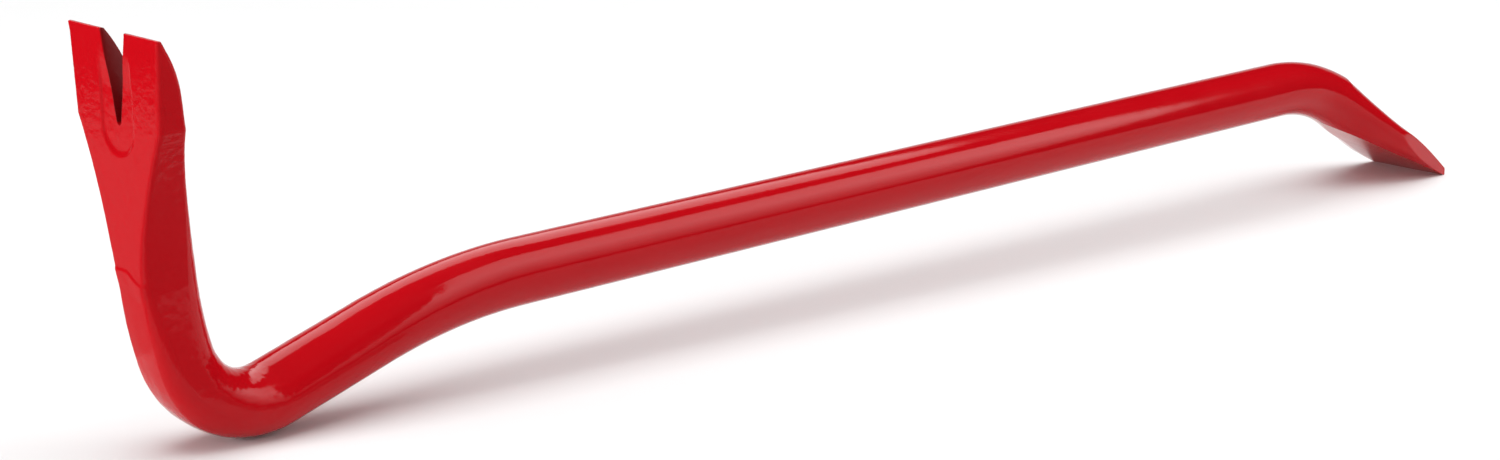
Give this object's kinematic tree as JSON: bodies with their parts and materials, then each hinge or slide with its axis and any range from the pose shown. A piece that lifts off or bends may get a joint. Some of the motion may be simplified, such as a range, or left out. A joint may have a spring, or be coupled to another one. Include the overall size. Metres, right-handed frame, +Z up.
{
  "type": "pry bar",
  "caption": "Red painted gooseneck pry bar forged from round steel, with a slotted nail claw at one end and an offset chisel blade at the other",
  "frame": {"origin": "bottom centre of the bounding box, on the floor that the heel and the chisel edge stand on", "axes": "+X along the bar from the claw to the chisel, +Y across the width of the claw and the blade, +Z up, the way the claw points"},
  "size_m": [0.6068, 0.0406, 0.1145],
  "materials": {
    "claw_paint": "glossy enamel over rough forging",
    "heel_paint": "glossy enamel over rough forging",
    "offset_paint": "glossy enamel",
    "shaft_paint": "glossy enamel over smooth rolled bar",
    "tip_paint": "glossy enamel",
    "blade_paint": "glossy enamel over ground faces"
  },
  "bodies": {
    "root": {"nail_claw": "claw_paint", "heel_bend": "heel_paint", "offset_bend": "offset_paint", "shaft": "shaft_paint", "tip_bend": "tip_paint", "chisel_blade": "blade_paint"}
  },
  "joints": []
}
